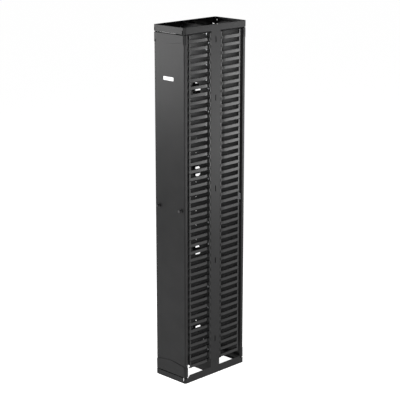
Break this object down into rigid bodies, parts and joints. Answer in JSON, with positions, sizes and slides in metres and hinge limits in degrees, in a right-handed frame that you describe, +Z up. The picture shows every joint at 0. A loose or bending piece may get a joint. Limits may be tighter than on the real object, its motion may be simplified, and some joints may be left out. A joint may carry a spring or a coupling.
{
  "type": "vertical cable manager",
  "caption": "Tall floor-standing two-sided cable manager: finger combs on both sides of two columns, open ends, and hinged front and rear doors with knob latches.",
  "frame": {"origin": "centre of the footprint, on the floor", "axes": "+X to the right seen from the front door, +Y from the front door to the rear door, +Z up"},
  "size_m": [0.254, 0.5386, 2.134],
  "materials": {
    "powder_steel": "fine-textured matt black powder coat",
    "comb_plastic": "satin moulded black plastic",
    "knob_plastic": "fine-grained black plastic",
    "bush_plastic": "smooth black plastic",
    "zinc_steel": "bright zinc plate"
  },
  "bodies": {
    "frame": {"base_ring": "powder_steel", "top_ring": "powder_steel", "left_column": "powder_steel", "right_column": "powder_steel", "centre_panel": "powder_steel", "front_left_comb_1": "comb_plastic", "front_left_comb_2": "comb_plastic", "front_left_comb_3": "comb_plastic", "front_left_comb_4": "comb_plastic", "front_left_comb_5": "comb_plastic", "front_right_comb_1": "comb_plastic", "front_right_comb_2": "comb_plastic", "front_right_comb_3": "comb_plastic", "front_right_comb_4": "comb_plastic", "front_right_comb_5": "comb_plastic", "rear_left_comb_1": "comb_plastic", "rear_left_comb_2": "comb_plastic", "rear_left_comb_3": "comb_plastic", "rear_left_comb_4": "comb_plastic", "rear_left_comb_5": "comb_plastic", "rear_right_comb_1": "comb_plastic", "rear_right_comb_2": "comb_plastic", "rear_right_comb_3": "comb_plastic", "rear_right_comb_4": "comb_plastic", "rear_right_comb_5": "comb_plastic", "top_hinge_sockets": "powder_steel", "base_hinge_sockets": "powder_steel", "joint_angles": "zinc_steel", "joint_bolts": "zinc_steel", "floor_plates": "powder_steel", "comb_screws": "zinc_steel", "panel_rivets": "zinc_steel"},
    "front_door": {"front_door_panel": "powder_steel", "front_door_top_cap": "powder_steel", "front_door_base_cap": "powder_steel", "front_latch_cases": "zinc_steel", "front_rod_guides": "bush_plastic", "front_knob_bushes": "bush_plastic"},
    "rear_door": {"rear_door_panel": "powder_steel", "rear_door_top_cap": "powder_steel", "rear_door_base_cap": "powder_steel", "rear_latch_cases": "zinc_steel", "rear_rod_guides": "bush_plastic", "rear_knob_bushes": "bush_plastic"},
    "front_left_latch_knob": {"front_left_knob": "knob_plastic", "front_left_pinion": "zinc_steel"},
    "front_left_upper_latch": {"front_left_upper_rod": "zinc_steel"},
    "front_left_lower_latch": {"front_left_lower_rod": "zinc_steel"},
    "front_right_latch_knob": {"front_right_knob": "knob_plastic", "front_right_pinion": "zinc_steel"},
    "front_right_upper_latch": {"front_right_upper_rod": "zinc_steel"},
    "front_right_lower_latch": {"front_right_lower_rod": "zinc_steel"},
    "rear_left_latch_knob": {"rear_left_knob": "knob_plastic", "rear_left_pinion": "zinc_steel"},
    "rear_left_upper_latch": {"rear_left_upper_rod": "zinc_steel"},
    "rear_left_lower_latch": {"rear_left_lower_rod": "zinc_steel"},
    "rear_right_latch_knob": {"rear_right_knob": "knob_plastic", "rear_right_pinion": "zinc_steel"},
    "rear_right_upper_latch": {"rear_right_upper_rod": "zinc_steel"},
    "rear_right_lower_latch": {"rear_right_lower_rod": "zinc_steel"}
  },
  "joints": [
    {"name": "front_door_hinge", "type": "hinge", "parent": "frame", "child": "front_door", "pos_m": [-0.114, -0.243, 1.065], "axis": [0, 0, -1], "range_deg": [0, 120]},
    {"name": "front_left_knob_turn", "type": "hinge", "parent": "front_door", "child": "front_left_latch_knob", "pos_m": [-0.0926, -0.243, 1.07], "axis": [0, -1, 0], "range_deg": [0, 90]},
    {"name": "front_left_upper_rod_slide", "type": "slide", "parent": "front_door", "child": "front_left_upper_latch", "axis": [0, 0, -1], "range_m": [0, 0.01571]},
    {"name": "front_left_lower_rod_slide", "type": "slide", "parent": "front_door", "child": "front_left_lower_latch", "axis": [0, 0, 1], "range_m": [0, 0.01571]},
    {"name": "front_right_knob_turn", "type": "hinge", "parent": "front_door", "child": "front_right_latch_knob", "pos_m": [0.0926, -0.243, 1.07], "axis": [0, -1, 0], "range_deg": [0, 90]},
    {"name": "front_right_upper_rod_slide", "type": "slide", "parent": "front_door", "child": "front_right_upper_latch", "axis": [0, 0, 1], "range_m": [0, 0.01571]},
    {"name": "front_right_lower_rod_slide", "type": "slide", "parent": "front_door", "child": "front_right_lower_latch", "axis": [0, 0, -1], "range_m": [0, 0.01571]},
    {"name": "rear_door_hinge", "type": "hinge", "parent": "frame", "child": "rear_door", "pos_m": [0.114, 0.243, 1.065], "axis": [0, 0, -1], "range_deg": [0, 120]},
    {"name": "rear_left_knob_turn", "type": "hinge", "parent": "rear_door", "child": "rear_left_latch_knob", "pos_m": [0.0926, 0.243, 1.07], "axis": [0, 1, 0], "range_deg": [0, 90]},
    {"name": "rear_left_upper_rod_slide", "type": "slide", "parent": "rear_door", "child": "rear_left_upper_latch", "axis": [0, 0, -1], "range_m": [0, 0.01571]},
    {"name": "rear_left_lower_rod_slide", "type": "slide", "parent": "rear_door", "child": "rear_left_lower_latch", "axis": [0, 0, 1], "range_m": [0, 0.01571]},
    {"name": "rear_right_knob_turn", "type": "hinge", "parent": "rear_door", "child": "rear_right_latch_knob", "pos_m": [-0.0926, 0.243, 1.07], "axis": [0, 1, 0], "range_deg": [0, 90]},
    {"name": "rear_right_upper_rod_slide", "type": "slide", "parent": "rear_door", "child": "rear_right_upper_latch", "axis": [0, 0, 1], "range_m": [0, 0.01571]},
    {"name": "rear_right_lower_rod_slide", "type": "slide", "parent": "rear_door", "child": "rear_right_lower_latch", "axis": [0, 0, -1], "range_m": [0, 0.01571]}
  ],
  "couplings": [
    {"joint": "front_left_knob_turn", "follows": "front_left_upper_rod_slide", "rad_per_m": 100},
    {"joint": "front_left_lower_rod_slide", "follows": "front_left_upper_rod_slide", "ratio": 1},
    {"joint": "front_right_knob_turn", "follows": "front_right_upper_rod_slide", "rad_per_m": 100},
    {"joint": "front_right_lower_rod_slide", "follows": "front_right_upper_rod_slide", "ratio": 1},
    {"joint": "rear_left_knob_turn", "follows": "rear_left_upper_rod_slide", "rad_per_m": 100},
    {"joint": "rear_left_lower_rod_slide", "follows": "rear_left_upper_rod_slide", "ratio": 1},
    {"joint": "rear_right_knob_turn", "follows": "rear_right_upper_rod_slide", "rad_per_m": 100},
    {"joint": "rear_right_lower_rod_slide", "follows": "rear_right_upper_rod_slide", "ratio": 1}
  ]
}
